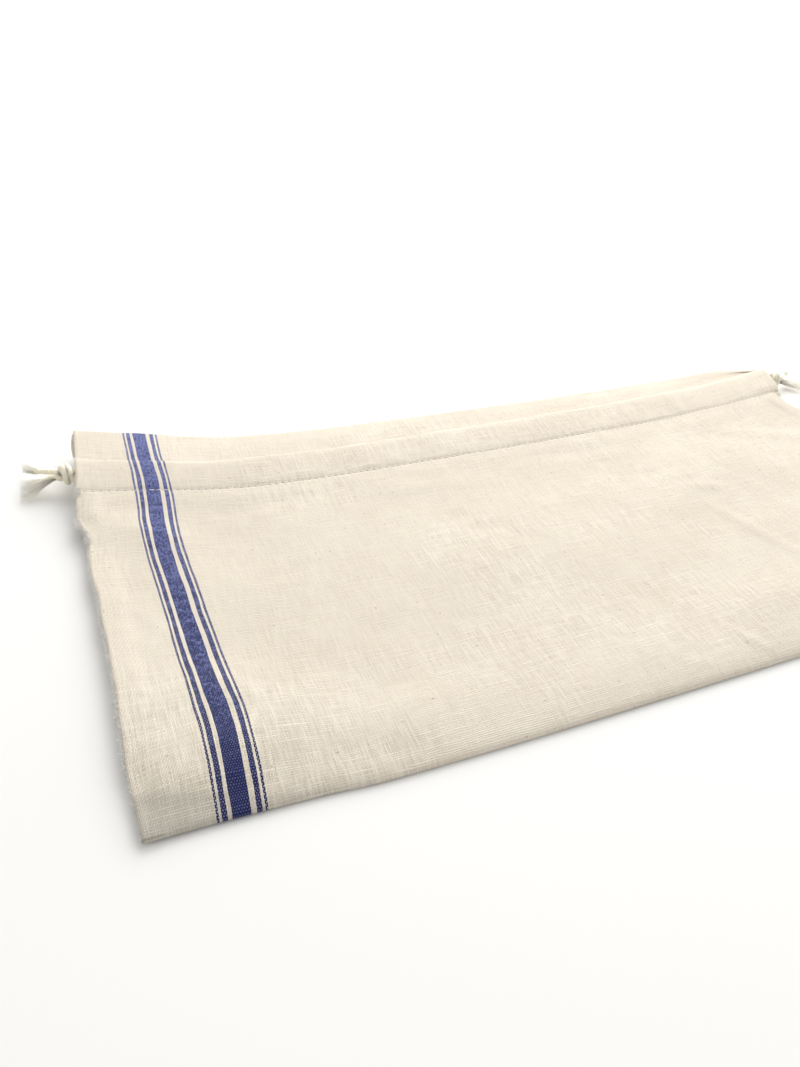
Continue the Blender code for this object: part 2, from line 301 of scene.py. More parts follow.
def spaced(points, step):
    """The same line again, with points step apart."""
    along = np.concatenate([[0], np.cumsum(np.linalg.norm(np.diff(points, axis=0), axis=1))])
    at = np.linspace(0, along[-1], max(2, round(along[-1] / step) + 1))
    return np.stack([np.interp(at, along, points[:, axis]) for axis in range(3)], axis=1)


def soft_line(points, step):
    """A smooth line through points, with its own points step apart."""
    points = np.array(points, float)
    flat = [points[0]]
    for index in range(len(points) - 1):
        start, end = points[index], points[index + 1]
        reach = np.linalg.norm(end - start)
        leave = end - points[max(index - 1, 0)]
        arrive = points[min(index + 2, len(points) - 1)] - start
        leave, arrive = (reach * v / np.linalg.norm(v) for v in (leave, arrive))
        for t in np.linspace(0, 1, 13)[1:]:
            flat.append(start * (2 * t ** 3 - 3 * t ** 2 + 1) + end * (3 * t ** 2 - 2 * t ** 3)
                        + leave * (t ** 3 - 2 * t ** 2 + t) + arrive * (t ** 3 - t ** 2))
    return spaced(np.array(flat), step)


def knot_turns(middle, outward):
    """The turns that a cord takes around a knot's middle, working away from the bag."""
    turn = np.linspace(0, KNOT_TURNS, 16)
    angle = math.tau * turn
    radius = KNOT_RADIUS * (1.0 - 0.30 * smooth((turn - KNOT_TURNS + 0.5) / 0.5))
    lipward, upward = -radius * np.cos(angle), radius * np.sin(angle)
    return list(zip(middle[0] + outward * (KNOT_PITCH * (turn - KNOT_TURNS / 2) + KNOT_LEAN * lipward),
                    middle[1] + lipward, middle[2] + upward))


def frames_along(line):
    """Two directions square to the line at each of its points, turning no more than it does."""
    ahead = np.gradient(line, axis=0)
    ahead /= np.linalg.norm(ahead, axis=1)[:, None]
    side = np.cross(ahead[0], (0.0, 0.0, 1.0))
    sides = []
    for direction in ahead:
        side = side - direction * side.dot(direction)
        side = side / np.linalg.norm(side)
        sides.append(side)
    sides = np.array(sides)
    return sides, np.cross(ahead, sides)


def add_piece(name, points, faces, finish, uv=None):
    """A mesh object made of points in metres and faces, shaded smooth."""
    mesh = bpy.data.meshes.new(name)
    mesh.from_pydata([tuple(point) for point in points], [], faces)
    mesh.shade_smooth()
    if uv is not None:
        flat = mesh.uv_layers.new(name="flat")
        corners = np.empty(len(mesh.loops), np.int32)
        mesh.loops.foreach_get("vertex_index", corners)
        flat.uv.foreach_set("vector", np.asarray(uv, np.float32)[corners].ravel())
    mesh.materials.append(finish)
    piece = bpy.data.objects.new(name, mesh)
    bpy.context.scene.collection.objects.link(piece)
    return piece


def ring_tube(rings, sides):
    """The faces of a closed tube of rings that each have as many points as it has sides."""
    faces = []
    for ring in range(rings - 1):
        for side in range(sides):
            a = ring * sides + side
            b = ring * sides + (side + 1) % sides
            faces.append((a, b, b + sides, a + sides))
    faces.append(tuple(range(sides))[::-1])
    faces.append(tuple(range((rings - 1) * sides, rings * sides)))
    return faces


def make_cord(name, way, knot, outward, tail, brushes, finish):
    """A twisted cord along its way, its plies' grooves winding around it, thinned into its tails."""
    flat = soft_line(list(way) + knot_turns(knot, outward) + list(tail), CORD_STEP)
    middle = np.array(knot)
    from_axis = np.hypot(flat[:, 1] - middle[1], flat[:, 2] - middle[2])
    wound = 1.0 - smooth((np.abs(flat[:, 0] - middle[0]) - KNOT_REACH) / KNOT_BLEND)
    wound = wound * smooth((from_axis - KNOT_HEART) / KNOT_BLEND)
    ends = [brush[0] * THINNED_SHARE / CORD_STEP for brush in brushes]
    count = len(flat)
    index = np.arange(count)
    thin = smooth(index / ends[0]) * smooth((count - 1 - index) / ends[1])
    radius = CORD_RADIUS * (CORD_TIP + (1.0 - CORD_TIP) * thin)
    line = lay(flat[:, 0], flat[:, 1], flat[:, 2]) / MILLIMETRE
    side, above = frames_along(line)
    run = np.arange(count) * CORD_STEP
    around = np.arange(CORD_SIDES) / CORD_SIDES * math.tau
    groove = 1.0 - CORD_GROOVE * (1.0 - np.abs(np.cos(CORD_PLIES / 2 * around)) ** 0.8)
    angle = around[None, :] + (math.tau * run / CORD_TWIST)[:, None]
    out = radius[:, None] * groove[None, :]
    ring = (out * np.cos(angle))[..., None] * side[:, None, :]
    ring = ring + (out * np.sin(angle))[..., None] * above[:, None, :]
    off = line - lay(*middle) / MILLIMETRE
    off[:, 0] = 0.0
    off /= np.maximum(np.linalg.norm(off, axis=1), 1e-6)[:, None]
    stand = (ring * off[:, None, :]).sum(axis=2, keepdims=True)
    ring = ring + (KNOT_SQUASH - 1.0) * wound[:, None, None] * stand * off[:, None, :]
    ring[..., 0] *= 1.0 + (KNOT_SPREAD - 1.0) * wound[:, None]
    points = (line[:, None, :] + ring).reshape(-1, 3) * MILLIMETRE
    uv = np.stack([np.broadcast_to(around / math.tau, angle.shape),
                   np.broadcast_to((run * MILLIMETRE)[:, None], angle.shape)], axis=-1)
    cord = add_piece(name, points, ring_tube(count, CORD_SIDES), finish, uv.reshape(-1, 2))
    return cord, flat


def fine_threads(paths, radii, sides=3):
    """Points and faces of many fine closed threads. paths is threads by points by 3, in
    millimetres, and radii is threads by points."""
    threads, length = paths.shape[:2]
    ahead = np.gradient(paths, axis=1)
    ahead /= np.maximum(np.linalg.norm(ahead, axis=2, keepdims=True), 1e-9)
    across = np.cross(ahead, np.broadcast_to(OFF_WAY, ahead.shape))
    across /= np.maximum(np.linalg.norm(across, axis=2, keepdims=True), 1e-9)
    above = np.cross(ahead, across)
    angle = np.arange(sides) / sides * math.tau
    ring = (np.cos(angle)[None, None, :, None] * across[:, :, None, :]
            + np.sin(angle)[None, None, :, None] * above[:, :, None, :])
    points = (paths[:, :, None, :] + ring * radii[:, :, None, None]).reshape(-1, 3)
    one = np.array(ring_tube(length, sides)[:-2])
    caps = np.array([list(range(sides))[::-1], list(range((length - 1) * sides, length * sides))])
    starts = np.arange(threads)[:, None, None] * length * sides
    faces = [tuple(face) for face in (one[None] + starts).reshape(-1, 4)]
    faces += [tuple(face) for face in (caps[None] + starts).reshape(-1, sides)]
    return points, faces


def brush_fibres(line, brush, seed):
    """The untwisted fibres of a tail whose line ends at its tip, spread as its brush says."""
    length, lipward, foldward, upward, count = brush
    rng = np.random.default_rng(seed)
    tip = line[0]
    inner = line[min(len(line) - 1, round(length / CORD_STEP))]
    along = (tip - inner) / np.linalg.norm(tip - inner)
    t = np.linspace(0, 1, 8)
    start = rng.normal(0, 0.45, (count, 2)) * CORD_RADIUS
    start /= np.maximum(np.linalg.norm(start, axis=1) / (CORD_RADIUS * 0.8), 1.0)[:, None]
    spread = rng.uniform(-1, 1, count)
    sideways = np.where(spread > 0, spread * lipward, spread * foldward)
    rise = rng.normal(0, 0.5, count) * upward
    reach = length * rng.uniform(0.72, 1.12, count)
    curl = rng.normal(0, 0.28, (count, 2))
    bend = t[None, :] ** 1.5
    x, y, z = (inner[axis] + along[axis] * reach[:, None] * t for axis in range(3))
    y = y + start[:, :1] * (1 - 0.5 * t) + sideways[:, None] * bend + curl[:, :1] * np.sin(t * 5.0)
    z = z + start[:, 1:] * (1 - 0.4 * t) + rise[:, None] * bend + curl[:, 1:] * np.sin(t * 4.2)
    laid = lay(x, y, z) / MILLIMETRE
    laid[..., 2] = np.maximum(laid[..., 2], BRUSH_LOWEST)
    radii = np.linspace(BRUSH_ROOT_RADIUS, BRUSH_TIP_RADIUS, len(t)) * rng.uniform(0.7, 1.3, (count, 1))
    return laid, radii


def plug(tree, node, **inputs):
    """The node, with its inputs set to values or joined to sockets. Input i0 is its first."""
    for name, value in inputs.items():
        counted = name[0] == "i" and name[1:].isdigit()
        socket = node.inputs[int(name[1:]) if counted else name.replace("_", " ")]
        if isinstance(value, Number):
            value = value.socket
        if isinstance(value, bpy.types.NodeSocket):
            tree.links.new(value, socket)
        else:
            socket.default_value = value
    return node


def wire(tree, kind, settings=(), **inputs):
    """A new node of a kind, with its settings and its inputs."""
    made = tree.nodes.new("ShaderNode" + kind)
    for name, value in dict(settings).items():
        setattr(made, name, value)
    return plug(tree, made, **inputs)


class Number:
    """A number that a material works out at each place, and that can be reckoned with."""

    def __init__(self, tree, socket):
        self.tree, self.socket = tree, socket

    def by(self, operation, *others, clamp=False):
        """What an operation makes of it and of the others."""
        values = {f"i{index}": value for index, value in enumerate((self, *others))}
        made = wire(self.tree, "Math", {"operation": operation, "use_clamp": clamp}, **values)
        return Number(self.tree, made.outputs[0])

    def __add__(self, other):
        return self.by("ADD", other)

    def __sub__(self, other):
        return self.by("SUBTRACT", other)

    def __mul__(self, other):
        return self.by("MULTIPLY", other)

    def __truediv__(self, other):
        return self.by("DIVIDE", other)

    def eased(self, low, high):
        """0 where it is low and 1 where it is high, with a soft step between."""
        made = wire(self.tree, "MapRange", {"interpolation_type": "SMOOTHSTEP"}, Value=self,
                    From_Min=low, From_Max=high)
        return Number(self.tree, made.outputs[0])


def blended(tree, share, low, high):
    """A colour between two others, each a (red, green, blue) or a socket."""
    low, high = ((*colour, 1.0) if isinstance(colour, tuple) else colour for colour in (low, high))
    return wire(tree, "Mix", {"data_type": "RGBA"}, i0=share, i6=low, i7=high).outputs[2]


def new_finish(name):
    """A new material, its node tree and its shader."""
    finish = bpy.data.materials.new(name)
    finish.use_nodes = True
    return finish, finish.node_tree, finish.node_tree.nodes["Principled BSDF"]


# How many streaks of fibre there are around a cord and in a metre of it, and soft clouds in a metre.
FIBRE_STRETCH, CLOUD_SCALE = (26.0, 260.0, 1.0), 260.0


def cotton_finish(name, colour, shade, fibre_scale, bump, sheen):
    """Soft unbleached cotton: fine fibres along the thread, paler where they stand out."""
    finish, tree, shader = new_finish(name)
    place = wire(tree, "UVMap", {"uv_map": "flat"}).outputs[0]
    stretched = wire(tree, "Mapping", Vector=place, Scale=FIBRE_STRETCH).outputs[0]
    fibres = wire(tree, "TexNoise", {"noise_dimensions": "2D"}, Vector=stretched, Scale=fibre_scale,
                  Detail=3.0, Roughness=0.6).outputs[0]
    solid = wire(tree, "TexCoord").outputs["Object"]
    cloudy = wire(tree, "TexNoise", Vector=solid, Scale=CLOUD_SCALE, Detail=2.0,
                  Roughness=0.5).outputs[0]
    light = Number(tree, fibres) * 0.65 + Number(tree, cloudy) * 0.35
    bumps = wire(tree, "Bump", Strength=bump, Distance=0.0004, Height=light).outputs[0]
    plug(tree, shader, Base_Color=blended(tree, light, shade, colour), Normal=bumps, Roughness=0.88,
         Specular_IOR_Level=0.2, Sheen_Weight=sheen, Sheen_Roughness=0.45, Subsurface_Weight=0.85,
         Subsurface_Radius=(1.0, 0.95, 0.85), Subsurface_Scale=0.003)
    return finish


# colour, shade, fibre_scale, bump, sheen
cord_cotton = cotton_finish("cord_cotton", (1.0, 0.92, 0.76), (0.94, 0.80, 0.60), 1.0, 0.35, 0.15)
fibre_cotton = cotton_finish("fibre_cotton", (0.97, 0.94, 0.84), (0.91, 0.86, 0.73), 1.0, 0.1, 0.6)
for cord_name, way, knot, outward, tail, seed in (
        ("drawcord_left", LEFT_CORD_WAY, LEFT_KNOT, -1, LEFT_CORD_TAIL, 11),
        ("drawcord_right", RIGHT_CORD_WAY, RIGHT_KNOT, 1, RIGHT_CORD_TAIL, 12)):
    cord, line = make_cord(cord_name + "_twist", way, knot, outward, tail,
                           (LONG_TAIL_BRUSH, SPREAD_TAIL_BRUSH), cord_cotton)
    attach(cord, "root")
    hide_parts(cord_name)
    brushes = [brush_fibres(line, LONG_TAIL_BRUSH, seed),
               brush_fibres(line[::-1], SPREAD_TAIL_BRUSH, seed + 10)]
    paths, radii = (np.concatenate([brush[part] for brush in brushes]) for part in (0, 1))
    points, faces = fine_threads(paths, radii)
    fibres = add_piece(cord_name + "_brushes", points * MILLIMETRE, faces, fibre_cotton,
                       np.stack([points[:, 1], points[:, 0]], axis=1) * MILLIMETRE)
    fibres.visible_shadow = False       # they are so fine that the light goes through them
    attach(fibres, "root")

# ---- The cloth ------------------------------------------------------------------------------
# One strip of unbleached linen, a plain weave with a group of blue warp stripes near the left
# side. It is folded across its middle, its sides are turned in and seamed up to the slits, and
# each end is turned in and stitched down twice, for the header and the casing.
CLOTH_THICKNESS = 0.6
STITCHES = 124              # in each line of stitching across the bag
STITCH = WIDE / STITCHES
SEAM_END, SLIT_OPENING = 184.0, 8.0         # where the seam begins to part, and over how much
HEM_EDGE = 204.0            # the hem's raw edge, a little past the casing's foot
HEM_INSET, HEM_BUNCH = 22.0, 90.0           # how far it stops short of the sides, and is gathered
# The heights of the four layers of cloth, at the middle of their thickness. Each row is a section
# across the bag. The hem is there only from its raw edge to the lip.
# from_fold, back_panel, back_hem, front_hem, front_panel
SECTIONS = (
    (0.0, 0.5, 1.7, 4.4, 1.4),
    (0.2, 0.5, 1.7, 4.4, 1.9),
    (0.7, 0.5, 1.7, 4.4, 2.35),
    (1.6, 0.5, 1.7, 4.4, 2.8),
    (3.0, 0.5, 1.7, 4.4, 3.2),
    (5.0, 0.5, 1.7, 4.4, 3.6),
    (8.0, 0.5, 1.7, 4.4, 4.0),
    (12.0, 0.5, 1.7, 4.4, 4.3),
    (17.0, 0.5, 1.7, 4.4, 4.4),
    (26.0, 0.5, 1.7, 4.4, 4.1),
    (46.0, 0.5, 1.7, 4.4, 3.2),
    (80.0, 0.5, 1.7, 4.4, 2.4),
    (128.0, 0.5, 1.7, 4.4, 2.4),
    (152.0, 0.5, 1.7, 4.4, 2.7),
    (172.0, 0.5, 1.7, 4.4, 3.2),
    (190.0, 0.5, 1.7, 4.4, 4.1),
    (204.0, 0.5, 1.7, 4.3, 5.4),
    (208.0, 0.5, 1.7, 4.4, 5.3),
    (210.8, 0.5, 3.0, 4.7, 6.1),
    (212.8, 0.5, 4.6, 5.4, 6.55),
    (214.5, 0.5, 5.2, 5.9, 6.85),
    (218.5, 0.5, 5.2, 6.1, 7.4),
    (220.3, 0.5, 4.6, 5.6, 7.65),
    (221.8, 0.5, 3.4, 4.6, 7.85),
    (223.4, 0.5, 1.9, 3.4, 8.05),
    (226.0, 0.5, 1.7, 3.1, 8.35),
    (229.4, 0.5, 1.7, 3.1, 8.6),
    (232.4, 0.5, 1.7, 3.1, 8.3),
    (234.8, 0.5, 1.7, 3.1, 7.2),
    (236.8, 0.5, 1.7, 3.1, 5.6),
    (239.0, 0.5, 1.7, 3.1, 4.2),
    (249.0, 0.5, 1.8, 3.3, 4.7),
    (258.8, 0.5, 1.7, 3.1, 4.3),
)
BACK_PANEL, BACK_HEM, FRONT_HEM, FRONT_PANEL = 1, 2, 3, 4
# The turned edges: their own height and the radius that the cloth turns in. The bottom fold's
# front is a soft roll, and its rows lie at these places.
BOTTOM_FOLD, FRONT_LIP, BACK_LIP = (1.4, 0.9), (3.7, 0.6), (1.1, 0.6)
FOLD_ROLL = (17.0, 14.0, 11.2, 8.8, 6.6, 4.8, 3.3, 2.1, 1.2, 0.55, 0.18)
# Soft swells of the front over the air caught in the bag.
# across, from_fold, half_width, half_depth, height
SWELLS = (
    (26, 172, 26, 24, 1.6),
    (58, 128, 34, 30, 1.2),
    (30, 62, 30, 30, 1.4),
    (52, 44, 48, 42, 4.6),
    (26, 26, 52, 26, 3.4),
    (110, 28, 60, 22, 1.5),
    (205, 120, 90, 60, 1.2),
    (318, 34, 56, 26, 1.8),
    (372, 150, 60, 44, 2.4),
    (428, 80, 40, 40, 1.6),
)
# The creases and puckers that a hand would feel: soft ridges, or troughs where height is below 0.
# across, from_fold, to_across, to_from_fold, half_width, height
CREASES = (
    (335, 137, 356, 128, 7.0, 0.9),
    (334, 116, 348, 76, 8.0, 0.8),
    (348, 76, 360, 46, 7.0, 0.7),
    (275, 25, 284, 3, 4.5, 0.8),
    (236, 17, 254, 6, 5.0, 0.4),
    (2, 20, 44, 15, 5.0, 0.7),
    (2, 188, 34, 186, 5.0, 0.6),
    (6, 184, 56, 162, 12.0, 0.8),
    (60, 186, 128, 196, 9.0, -0.6),
    (150, 190, 230, 178, 12.0, 0.7),
    (250, 196, 330, 188, 9.0, -0.6),
    (352, 186, 420, 200, 12.0, 0.8),
    (400, 180, 468, 150, 10.0, 0.7),
    (10, 120, 34, 92, 9.0, 0.5),
    (116, 2, 122, 14, 6.0, 0.5),
    (402, 30, 440, 8, 8.0, 0.7),
    (440, 120, 470, 96, 8.0, 0.6),
)
CREASE_END = 0.35           # what is left of a crease at its ends, as a share
# Each line of stitching, and how strongly it puckers the cloth: a groove, and beside it a puff
# between each two needle holes, which is stronger below the line than above.
STITCHING = ((CASING_FOOT, 1.0), (CASING_HEAD, 0.45))
GROOVE_DEPTH, GROOVE_WIDTH = 0.30, 0.8
PUFF_RISE, PUFF_AWAY, PUFF_WIDTH, PUFF_ABOVE = 0.55, 1.7, 0.9, 0.45
FOLD_EASE, CASING_EASE = 12.0, 3.0          # over how much the front fills out from the two
SEAM_RISE, SEAM_SWELL = 1.2, 14.0           # half the seam's height over the back, and how far in it draws
SEAM_ALLOWANCE, SEAM_RIDGE = 7.0, 0.9       # the ridge over the allowances inside the bag
# The two cords cross in the casing's right end, which stands higher there.
CROSSING_RISE, CROSSING_REACH, CROSSING_RUN = 1.2, 34.0, 5.0
# Where a side of the strip is turned in: the radius of the turn, how far around it goes, how far
# below the cloth its allowance then lies, and its points from there on, from the side inward.
SLIT_TURN, SEAM_TURN = (0.36, 180.0, 0.72), (0.6, 120.0, 0.86)
ALLOWANCE_POINTS = (1.4, 3.0, 5.0, 7.5)
TURN_EASE = 8.0             # over how much of the cloth beside it a turn's extra length is taken up
# How big the swells of the cloth's own unevenness are, how high, and its seed.
UNEVENNESS = ((34.0, 0.30, 1), (13.0, 0.16, 2), (5.5, 0.05, 3))
GATHER_RISE, GATHER_CELL = 0.22, 8.0        # the small gathers along the casing
# The back's header shows a little beyond the front's at the left slit.
BACK_PEEP, BACK_PEEP_MIDDLE, BACK_PEEP_REACH, BACK_PEEP_WIDTH = 1.9, 252.0, 17.0, 30.0


def soft_noise(across, from_fold, cell, seed):
    """An even wandering between -1 and 1 whose swells are about cell wide."""
    rng = np.random.default_rng(seed)
    grid = rng.uniform(-1, 1, (256, 256))
    a, b = across / cell + 40.0, from_fold / cell + 40.0
    i, j = np.floor(a).astype(int), np.floor(b).astype(int)
    s, t = smooth(a - i), smooth(b - j)
    near = grid[i % 256, j % 256] * (1 - s) + grid[(i + 1) % 256, j % 256] * s
    far = grid[i % 256, (j + 1) % 256] * (1 - s) + grid[(i + 1) % 256, (j + 1) % 256] * s
    return near * (1 - t) + far * t


def crease_rise(across, from_fold):
    """What the creases add to the front's height."""
    rise = np.zeros_like(across)
    for a0, b0, a1, b1, half_width, height in CREASES:
        run = np.array((a1 - a0, b1 - b0), float)
        length = np.hypot(*run)
        share = np.clip(((across - a0) * run[0] + (from_fold - b0) * run[1]) / length ** 2, 0, 1)
        away = np.hypot(across - a0 - share * run[0], from_fold - b0 - share * run[1])
        taper = CREASE_END + (1.0 - CREASE_END) * np.sin(np.pi * np.clip(share, 0.02, 0.98))
        rise = rise + height * taper * (1.0 - smooth(away / half_width)) ** 1.3
    return rise


def stitch_pucker(across, from_fold):
    """How the cloth dips along a line of stitching and puffs up between its stitches."""
    dip = np.zeros_like(across)
    between = 0.5 - 0.5 * np.cos(math.tau * across / STITCH)
    uneven = 0.75 + 0.35 * soft_noise(across, from_fold, 9.0, 5)
    for line, strength in STITCHING:
        off = from_fold - line
        puff = np.exp(-((np.abs(off) - PUFF_AWAY) / PUFF_WIDTH) ** 2)
        puff = PUFF_RISE * uneven * np.where(off < 0, 1.0, PUFF_ABOVE) * between * puff
        dip = dip + strength * (puff - GROOVE_DEPTH * np.exp(-(off / GROOVE_WIDTH) ** 2))
    return dip


def sewn_share(from_fold):
    """1 along the seamed sides and 0 along the slits."""
    return 1.0 - smooth((from_fold - SEAM_END) / SLIT_OPENING)


def layer_height(layer, across, from_fold):
    """The height of a layer of the cloth over the true bag's flat underside."""
    height = read_rows(SECTIONS, layer, from_fold)
    if layer != FRONT_PANEL:
        return height
    from_side = np.clip(np.minimum(across, WIDE - across), 0.0, None)
    fullness = SEAM_RIDGE * (1.0 - smooth(np.abs(from_side / SEAM_ALLOWANCE - 1.0)))
    for swell_across, swell_from_fold, half_width, half_depth, swell in SWELLS:
        reach = np.hypot((across - swell_across) / half_width, (from_fold - swell_from_fold) / half_depth)
        fullness = fullness + swell * (1.0 - smooth(reach))
    off_fold = smooth(from_fold / FOLD_EASE)
    height = height + fullness * off_fold * smooth((CASING_FOOT - from_fold) / CASING_EASE)
    below = smooth((CASING_FOOT - CASING_EASE - from_fold) / FOLD_EASE) * off_fold
    height = height + below * crease_rise(across, from_fold)
    from_stitches = np.clip(np.minimum(from_fold - CASING_FOOT, CASING_HEAD - from_fold), 0.0, None)
    crossing = 1.0 - smooth((WIDE - across) / CROSSING_REACH)
    height = height + CROSSING_RISE * crossing * smooth(from_stitches / CROSSING_RUN)
    height = height + stitch_pucker(across, from_fold)
    free = smooth(from_fold / 10.0) * smooth(from_side / 8.0)
    for cell, rise, seed in UNEVENNESS:
        height = height + free * rise * soft_noise(across, from_fold, cell, seed)
    gathers = soft_noise(across, 0.0, GATHER_CELL, 4)
    height = height + GATHER_RISE * smooth(from_stitches / 4.0) * gathers
    seam = height + (SECTIONS[0][BACK_PANEL] + 2 * SEAM_RISE - height) * smooth(from_fold / 14.0)
    drawn = seam + (height - seam) * smooth(from_side / SEAM_SWELL)
    return height + (drawn - height) * sewn_share(from_fold)


def side_turn(sewn):
    """How a side of the strip turns in, between a slit's turned edge and a sewn seam: the radius
    of the turn, and points (inward, down) from its outermost to the allowance's edge."""
    radius, sweep, drop = (low + (high - low) * sewn for low, high in zip(SLIT_TURN, SEAM_TURN))
    under = [math.radians(90.0 + (sweep - 90.0) * share) for share in (0.35, 0.7, 1.0)]
    allowance = [(radius * (1 - math.sin(angle)), radius * (1 - math.cos(angle))) for angle in under]
    allowance += [(inward, drop) for inward in ALLOWANCE_POINTS]
    return radius, allowance


def hem_across(across, from_fold):
    """Where the columns run on a turned-in hem, which stops short of the sides in the casing."""
    inset = HEM_INSET * smooth((DEEP - from_fold) / (DEEP - CASING_HEAD))
    inward = inset * (1.0 - smooth(np.minimum(across, WIDE - across) / HEM_BUNCH))
    return np.where(across < WIDE / 2, across + inward, across - inward)


def finer(places):
    """The same places with one more between each two."""
    return np.sort(np.concatenate([places, (places[1:] + places[:-1]) / 2]))


side_columns = np.array([0.0, 2.0, STITCH])
COARSE = np.concatenate([side_columns, np.arange(2, STITCHES - 1) * STITCH, WIDE - side_columns[::-1]])
MEDIUM = finer(COARSE)
FINE = finer(MEDIUM)


def strip_rows():
    """The strip's rows as (layer, from_fold, height or None, columns), from the front hem's raw
    edge over the front and the back to the back hem's."""
    def stretch(layer, start, end, step, columns):
        count = max(1, round(abs(end - start) / step))
        return [(layer, place, None, columns) for place in np.linspace(start, end, count + 1)[:-1]]

    def turned(turn, edge, sign, first, last, columns, start=-90):
        height, radius = turn
        rows = []
        for angle in np.linspace(start, 90, 7 if start else 5):
            inward = radius * (1 - math.cos(math.radians(angle)))
            layer = first if angle < 0 else last
            up = radius * math.sin(math.radians(angle)) * sign
            rows.append((layer, abs(edge - inward), height + up, columns))
        return rows

    rows = stretch(FRONT_HEM, HEM_EDGE, 258.8, 2.8, COARSE)
    rows += turned(FRONT_LIP, DEEP, 1, FRONT_HEM, FRONT_PANEL, MEDIUM)
    rows += stretch(FRONT_PANEL, 258.6, 242.6, 2.0, MEDIUM)[1:]
    rows += stretch(FRONT_PANEL, 242.6, 235.6, 0.9, FINE)
    rows += stretch(FRONT_PANEL, 235.6, 212.0, 1.6, MEDIUM)
    rows += stretch(FRONT_PANEL, 212.0, 203.6, 0.85, FINE)
    rows += stretch(FRONT_PANEL, 203.6, FOLD_ROLL[0], 3.6, MEDIUM)
    rows += [(FRONT_PANEL, place, None, MEDIUM) for place in FOLD_ROLL]
    rows += turned(BOTTOM_FOLD, 0.0, -1, FRONT_PANEL, BACK_PANEL, MEDIUM, 0)
    rows += stretch(BACK_PANEL, 1.4, 8.0, 2.2, COARSE)[1:]
    rows += stretch(BACK_PANEL, 8.0, 184.0, 8.0, COARSE)
    rows += stretch(BACK_PANEL, 184.0, 258.6, 2.5, COARSE)
    rows += turned(BACK_LIP, DEEP, 1, BACK_PANEL, BACK_HEM, COARSE)
    rows += stretch(BACK_HEM, 258.6, HEM_EDGE, 2.8, COARSE)[1:]
    return rows


def rounded_sides(columns, high, radius, sign):
    """A row of the cloth, its sides rounded over by the radius without making it wider."""
    from_side = np.minimum(columns, WIDE - columns)
    arc = radius * math.pi / 2
    angle = np.clip(1.0 - from_side / arc, 0.0, 1.0) * math.pi / 2
    straight = radius + (from_side - arc) + (arc - radius) * smooth((from_side - arc) / TURN_EASE)
    inward = np.where(from_side < arc, radius * (1 - np.sin(angle)), straight)
    return np.where(columns < WIDE / 2, inward, WIDE - inward), high + sign * radius * (1 - np.cos(angle))


def strip_mesh():
    """The points, faces and flat places of the strip's middle surface, its length and where the
    lines of stitching run along it."""
    points, flat, faces, grid, panels = [], [], [], [], {FRONT_PANEL: [], BACK_PANEL: []}
    run, before = 0.0, None
    for layer, from_fold, height, columns in strip_rows():
        on_panel = layer in panels
        across = columns if on_panel else hem_across(columns, from_fold)
        high = layer_height(layer, across, np.full(len(across), float(from_fold)))
        if height is not None:
            high = np.full(len(across), height)
        middle = float(np.interp(WIDE / 2, across, high))
        if before is not None:
            run += math.hypot(from_fold - before[0], middle - before[1])
        before = (from_fold, middle)
        if on_panel and height is None:
            panels[layer].append((from_fold, run))
        x, z = across, high
        if on_panel:
            radius, allowance = side_turn(float(sewn_share(from_fold)))
            sign = -1.0 if layer == FRONT_PANEL else 1.0
            x, z = rounded_sides(columns, high, radius, sign)
        peep = 0.0
        if layer in (BACK_PANEL, BACK_HEM):
            peep = BACK_PEEP * (1.0 - smooth(abs(from_fold - BACK_PEEP_MIDDLE) / BACK_PEEP_REACH))
            x = x - peep * (1.0 - smooth(across / BACK_PEEP_WIDTH))
        row = {"main": list(range(len(points), len(points) + len(across))), "left": [], "right": []}
        points.extend(lay(x, float(from_fold), z))
        flat.extend(np.stack([across, np.full(len(across), run)], axis=1))
        if on_panel:
            for side, edge, way, top, shift in (("left", 0.0, 1.0, high[0], peep),
                                                ("right", WIDE, -1.0, high[-1], 0.0)):
                along, last = 0.0, (0.0, radius)
                for inward, down in allowance:
                    row[side].append(len(points))
                    points.append(lay(edge + way * inward - shift, float(from_fold), top + sign * down))
                    along += math.hypot(inward - last[0], down - last[1])
                    last = (inward, down)
                    flat.append((edge - way * along, run))
        grid.append(row)
    for low, high in zip(grid, grid[1:]):
        faces += band_faces(low["main"], high["main"])
        for side, edge, way in (("left", 0, 1), ("right", -1, -1)):
            if low[side] and high[side]:
                a = [low["main"][edge]] + low[side]
                b = [high["main"][edge]] + high[side]
                faces += [(a[k], b[k], b[k + 1], a[k + 1])[::way] for k in range(len(a) - 1)]
    lines = []
    for panel in panels.values():
        panel = np.array(sorted(panel))
        lines += [float(np.interp(line, panel[:, 0], panel[:, 1])) for line in (CASING_FOOT, CASING_HEAD)]
    return np.array(points), faces, np.array(flat), run, lines


def band_faces(low, high):
    """The faces between two rows, one of which may have twice or four times the other's points."""
    if len(high) > len(low):
        return [face[::-1] for face in band_faces(high, low)]
    ratio = (len(low) - 1) // (len(high) - 1)
    faces = []
    for k in range(len(high) - 1):
        near = low[k * ratio:(k + 1) * ratio + 1]
        faces.append((*near, high[k + 1], high[k]))
    return faces


strip_points, strip_faces, strip_flat, strip_length, strip_lines = strip_mesh()

